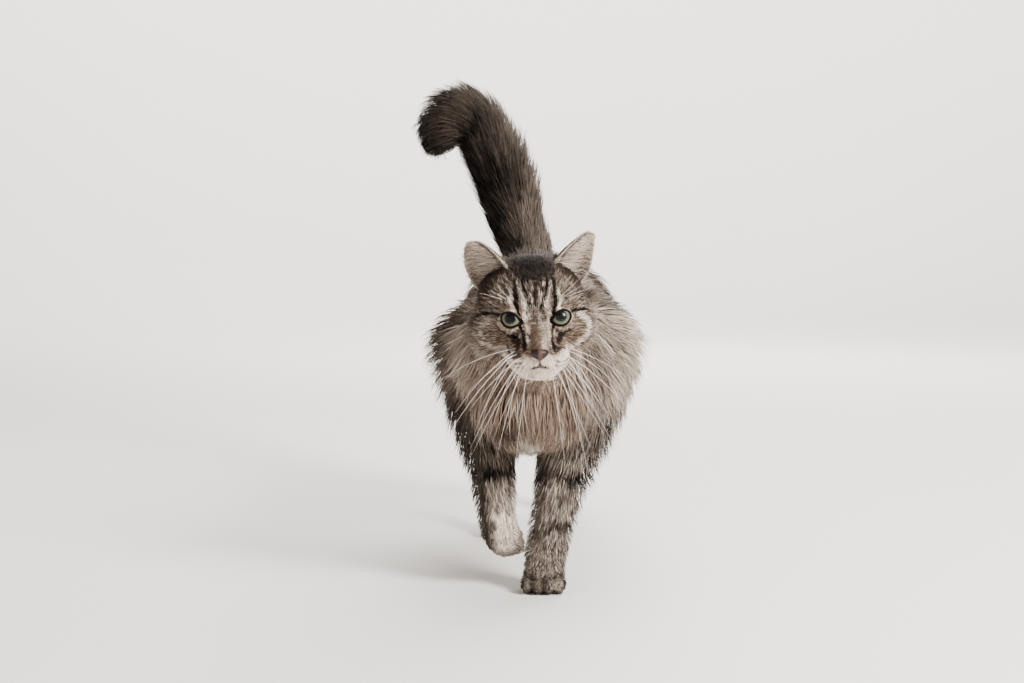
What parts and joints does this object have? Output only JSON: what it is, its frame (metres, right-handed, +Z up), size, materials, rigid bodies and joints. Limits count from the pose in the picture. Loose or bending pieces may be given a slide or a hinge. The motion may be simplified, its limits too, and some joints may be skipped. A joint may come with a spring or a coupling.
{
  "type": "cat",
  "caption": "Life-size model of a long-haired tabby cat, walking with its tail raised and one front paw lifted.",
  "frame": {"origin": "middle of the bounding box, on the floor", "axes": "+Z up; the cat faces -Y; +X is its left side"},
  "size_m": [0.2504, 0.573, 0.4853],
  "materials": {
    "coat": "long soft fur, grey-brown with black bands",
    "coat_pale": "soft cream fur",
    "coat_dark": "long charcoal fur",
    "eye": "wet, clear cornea over a pale green iris",
    "nose": "damp, finely pebbled"
  },
  "bodies": {
    "root": {"head": "coat", "neck_ruff": "coat", "thorax": "coat", "abdomen": "coat", "rump": "coat", "upper_arm_left": "coat", "upper_arm_right": "coat", "forearm_left": "coat", "forearm_right": "coat", "front_paw_left": "coat", "front_paw_right": "coat", "thigh_left": "coat", "thigh_right": "coat", "shank_left": "coat", "shank_right": "coat", "hind_foot_left": "coat", "hind_foot_right": "coat", "hind_paw_left": "coat", "hind_paw_right": "coat", "muzzle": "coat_pale", "chest_bib": "coat_pale", "ear_left": "coat_pale", "ear_right": "coat_pale", "tail_base": "coat_dark", "tail_middle": "coat_dark", "tail_tip": "coat_dark", "eye_left": "eye", "eye_right": "eye", "nose": "nose"}
  },
  "joints": []
}
